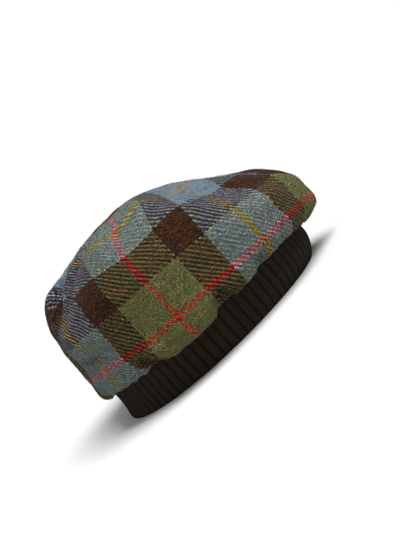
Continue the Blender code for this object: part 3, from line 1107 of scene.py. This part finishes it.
def fibre_paths(points, side, chance):
    """Points along every fibre: its direction turns at a steady rate, and its lift is half a sine wave."""
    column_step = np.gradient(points, axis=0)
    row_step = np.gradient(points, axis=1)
    column, row = fibre_starts(column_step, row_step, chance)
    part = chance.uniform(*fibre_length, fibre_count) / (fibre_steps - 1)
    heading = chance.uniform(0, 2 * np.pi, fibre_count)
    curl = np.radians(chance.uniform(*fibre_curl, fibre_count)) * chance.choice([-1, 1], fibre_count)
    paths = []
    for station in np.linspace(0, 1, fibre_steps):
        lift = np.sin(np.pi * station) * (1 - fibre_end_lift) + fibre_end_lift * station
        near_column = np.clip(column.astype(int), 1, fine_columns - 2)
        near_row = np.clip(row.astype(int), 1, fine_rows - 2)
        along = column_step[near_column, near_row]
        upward = row_step[near_column, near_row]
        outward = np.cross(along, upward) * side
        outward /= np.linalg.norm(outward, axis=-1, keepdims=True)
        place = points[near_column, near_row]
        place = place + along * (column - near_column)[:, None] + upward * (row - near_row)[:, None]
        paths.append(place + outward * (fibre_root + fibre_lift * lift))
        turned = heading + curl * station
        column = column + part * np.cos(turned) / np.linalg.norm(along, axis=-1)
        row = row + part * np.sin(turned) / np.linalg.norm(upward, axis=-1)
    return np.stack(paths, axis=1)


# %% Curls as tubes
fibre_sides = 3
fibre_radius = 0.00004
aside = (0.31, 0.52, 0.80)


def tubes_along(paths):
    """A thin tube round each path: rings square to it, joined by walls and closed at both ends."""
    ahead = np.gradient(paths, axis=1)
    ahead /= np.linalg.norm(ahead, axis=-1, keepdims=True)
    first = np.cross(ahead, aside)
    first /= np.linalg.norm(first, axis=-1, keepdims=True)
    second = np.cross(ahead, first)
    turn = 2 * np.pi * np.arange(fibre_sides) / fibre_sides
    ring = np.cos(turn)[:, None] * first[:, :, None] + np.sin(turn)[:, None] * second[:, :, None]
    index = np.arange(fibre_count * fibre_steps * fibre_sides).reshape(fibre_count, fibre_steps, fibre_sides)
    beside = np.roll(index, -1, axis=2)
    walls = np.stack([index[:, :-1], beside[:, :-1], beside[:, 1:], index[:, 1:]], axis=-1).reshape(-1, 4)
    ends = np.concatenate([index[:, 0, ::-1], index[:, -1]])
    return paths[:, :, None] + fibre_radius * ring, walls.tolist() + ends.tolist()


def scatter_fibres(name, half, side, material, seed):
    """All stray fibres of one half, over the outer grid of its finished mesh."""
    points = np.empty(len(half.data.vertices) * 3)
    half.data.vertices.foreach_get("co", points)
    points = points.reshape(2, fine_columns, fine_rows, 3)[0]
    tubes, faces = tubes_along(fibre_paths(points, side, np.random.default_rng(seed)))
    return make_piece(name, tubes, faces, material)


wool = fibre_finish()
for name, side, _, seed in crown_halves:
    half_fibres = scatter_fibres(name.replace("crown", "fibres"), halves[name], side, wool, seed)
    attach(half_fibres, "root")

# %% [markdown]
# ## The ribbed band
#
# The band is a tube of rib knit folded in half, so its lower edge is round and its upper edge goes
# into the crown. Straight ribs with an array modifier would not follow the oval, so one profile of the
# band is carried round it instead. Narrow grooves divide the ribs, and three fine wales run down each.
# Over the forehead the knit is stretched, so the grooves are narrower there and the ribs look wider.

# %% Profile of the band
round_points = 7
wall_points = 14
wall_top = band_height - 0.25 * fold_round
top_bevel = 0.10 * band_thickness


def band_profile():
    """Heights, depths from the outside and shares of the ribs' depth, once round a closed profile."""
    turn = np.linspace(0, np.pi / 2, round_points)
    rise = fold_round * (1 - np.cos(turn))
    cut = (band_thickness - rest_strip) / 2 * (1 - np.sin(turn))
    wall = np.linspace(fold_round, wall_top, wall_points)[1:]
    flush = np.zeros_like(wall)
    height = np.concatenate([rise, wall, [band_height, band_height], wall[::-1], rise[::-1]])
    top = [top_bevel, band_thickness]
    depth = np.concatenate([cut, flush, top, flush + band_thickness, band_thickness - cut[::-1]])
    share = np.concatenate([np.sin(turn), flush + 1, [0, 0], flush, np.zeros_like(turn)])
    return height, depth, share


# %% Ribs and wales
rib_count = 75
rib_turn = 4.2
columns_per_rib = 16
rib_depth = 0.0014
groove_power = 4.0
groove_power_swing = 2.0
wales_per_rib = 3
wale_depth = 0.00020
courses = 24


def make_band(name, material):
    """The band: its profile carried round the oval, less the grooves and wales.

    A groove is a cosine wave raised to a power, and a higher power makes it narrower.
    """
    count = rib_count * columns_per_rib
    angle = 2 * np.pi * np.arange(count) / count
    phase = rib_count * angle + rib_turn
    power = groove_power + groove_power_swing * np.cos(angle)
    waves = rib_depth * (0.5 + 0.5 * np.cos(phase)) ** power + wale_depth * np.cos(wales_per_rib * phase)
    height, depth, share = band_profile()
    outward = band_outward(angle[None], height[:, None]) - depth[:, None] - share[:, None] * waves[None]
    points = np.stack([*oval(angle[None], outward), height[:, None] + 0 * outward], axis=-1)
    index = np.arange(outward.size).reshape(outward.shape)
    following = np.roll(index, -1, axis=1)
    beyond = np.roll(following, -1, axis=0)
    faces = np.stack([index, following, beyond, np.roll(index, -1, axis=0)], axis=-1).reshape(-1, 4)
    wale_number = wales_per_rib * phase[None] / (2 * np.pi) + 0 * outward
    steps = np.hypot(np.diff(height), np.diff(depth))
    course_number = np.concatenate([[0], np.cumsum(steps)])[:, None] * courses / band_height + 0 * outward
    stitches = np.stack([wale_number, course_number], axis=-1)
    return make_piece(name, points, faces, material, stitches, "stitches")


# %% The knit
# Powers below one make a yarn fuller. Tones add up from the gap to the yarn, and from groove to crown, as
# painted shade.
stitch_slant = 0.55
yarn_power = 0.6
leg_power = 0.5
knit_fibre_scale = 1.7
fibre_relief = 0.4
stitch_relief = 0.0004
gap_shade_tone = 0.60
yarn_light_tone = 0.35
fibre_tone = 0.35
groove_shade_tone = 0.60
crown_light_tone = 0.55
groove_share = 0.36


def knit_finish():
    """Dark wool in knit stitches: two slanting yarns make a V, and each wale is a row of small Vs."""
    cloth = Finish("dark_brown_knit")
    place = cloth.add("ShaderNodeUVMap", {"uv_map": "stitches"})
    round_band, up, _ = cloth.split(place)
    part_wale = round_band - math.floor(round_band)
    side = abs(part_wale - 0.5) * 2
    slanted = up + side * stitch_slant
    part_course = slanted - math.floor(slanted)
    yarn = (part_course * (1 - part_course) * 4) ** yarn_power
    leg = (side * (1 - side) * 4) ** leg_power
    height = yarn * leg
    fibre = cloth.noise(place, knit_fibre_scale, 4.0)
    from_groove = abs((round_band / wales_per_rib + 0.5) % 1 - 0.5) * 2
    # Painted shade: darker in the gaps between stitch yarns and in the grooves between the ribs.
    tone = gap_shade_tone + yarn_light_tone * height + fibre_tone * fibre
    tone = tone * (groove_shade_tone + crown_light_tone * from_groove.clamped(0.0, groove_share))
    colour = cloth.mix(1.0, rgb(35, 29, 23), cloth.point(tone, tone, tone), "MULTIPLY")
    relief = height + fibre_relief * fibre
    rise = cloth.add("ShaderNodeBump", None, {"Strength": 0.6, "Distance": stitch_relief, "Height": relief})
    cloth.dress(
        Base_Color=colour, Normal=rise, Roughness=0.9, Specular_IOR_Level=0.08,
        Sheen_Weight=0.015, Sheen_Roughness=0.4, Sheen_Tint=rgb(170, 150, 130),
    )
    return cloth.material


band = make_band("knit_band", knit_finish())
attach(band, "root")
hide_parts("rib_band")

# %% [markdown]
# ## The studio
#
# The hat stands on its rim on a pale table under a wide soft sky. The camera looks from the wearer's
# right, a little from above, and is rolled so that the hat leans as it does in the photograph. The
# floor runs far past the picture, so no horizon cuts through it.

# %% Floor and sky
floor_reach = 30.0
floor_drop = 0.0001
floor_grey = 0.60
sky_strength = 0.45


def make_floor():
    """One large square just under the rim."""
    finish = Finish("pale_floor")
    finish.dress(Base_Color=(floor_grey, floor_grey, floor_grey, 1.0), Roughness=0.9, Specular_IOR_Level=0.1)
    corners = floor_reach * np.array([(-1, -1), (1, -1), (1, 1), (-1, 1)])
    points = np.column_stack([corners, np.full(4, -floor_drop)])
    return make_piece("floor", points, np.array([[0, 1, 2, 3]]), finish.material)


make_floor()

scene = bpy.context.scene
world = bpy.data.worlds.new("soft_sky")
world.use_nodes = True
sky = world.node_tree.nodes["Background"]
sky.inputs["Color"].default_value = (1.0, 1.0, 1.0, 1.0)
sky.inputs["Strength"].default_value = sky_strength
scene.world = world
scene.view_settings.view_transform = "Standard"


# %% Lights
def looking(position, right, up, back):
    """An object's matrix, column by column: its own axes point right, up and back."""
    matrix = np.eye(4)
    matrix[:3, :4] = np.column_stack([right, up, back, position])
    return matrix.T.tolist()


def place_light(name, direction, softness, strength):
    """A far soft light that shines from the direction, as wide as the softness angle in degrees."""
    lamp = bpy.data.lights.new(name, "SUN")
    lamp.angle = math.radians(softness)
    lamp.energy = strength
    back = np.array(direction) / np.linalg.norm(direction)
    right = np.cross((0.0, 0.0, 1.0), back)
    right = right / np.linalg.norm(right)
    holder = bpy.data.objects.new(name, lamp)
    holder.matrix_world = looking((0, 0, 0), right, np.cross(back, right), back)
    bpy.context.collection.objects.link(holder)
    print("%s: %.2f from %s" % (name, strength, direction))


place_light("key_light", (1.1, -0.7, 2.6), 40.0, 4.75)
place_light("fill_light", (-1.4, -2.0, 0.8), 60.0, 0.38)

# %% Camera
view_roll = math.radians(42.68)
image_height = 0.4354
sensor = 36.0

level_right = np.array([1.0, 0.0, 0.0])
level_up = np.array([0.0, math.sin(view_elevation), math.cos(view_elevation)])
forward = np.array([0.0, math.cos(view_elevation), -math.sin(view_elevation)])
rightward = math.cos(view_roll) * level_right - math.sin(view_roll) * level_up
upward = math.sin(view_roll) * level_right + math.cos(view_roll) * level_up
camera = bpy.data.objects.new("camera", bpy.data.cameras.new("camera"))
camera.data.sensor_width = sensor
camera.data.lens = sensor * view_distance / image_height
camera.matrix_world = looking(view_aim - view_distance * forward, rightward, upward, -forward)
bpy.context.collection.objects.link(camera)
scene.camera = camera
print("camera lens: %.0f mm, %.1f m away" % (camera.data.lens, view_distance))
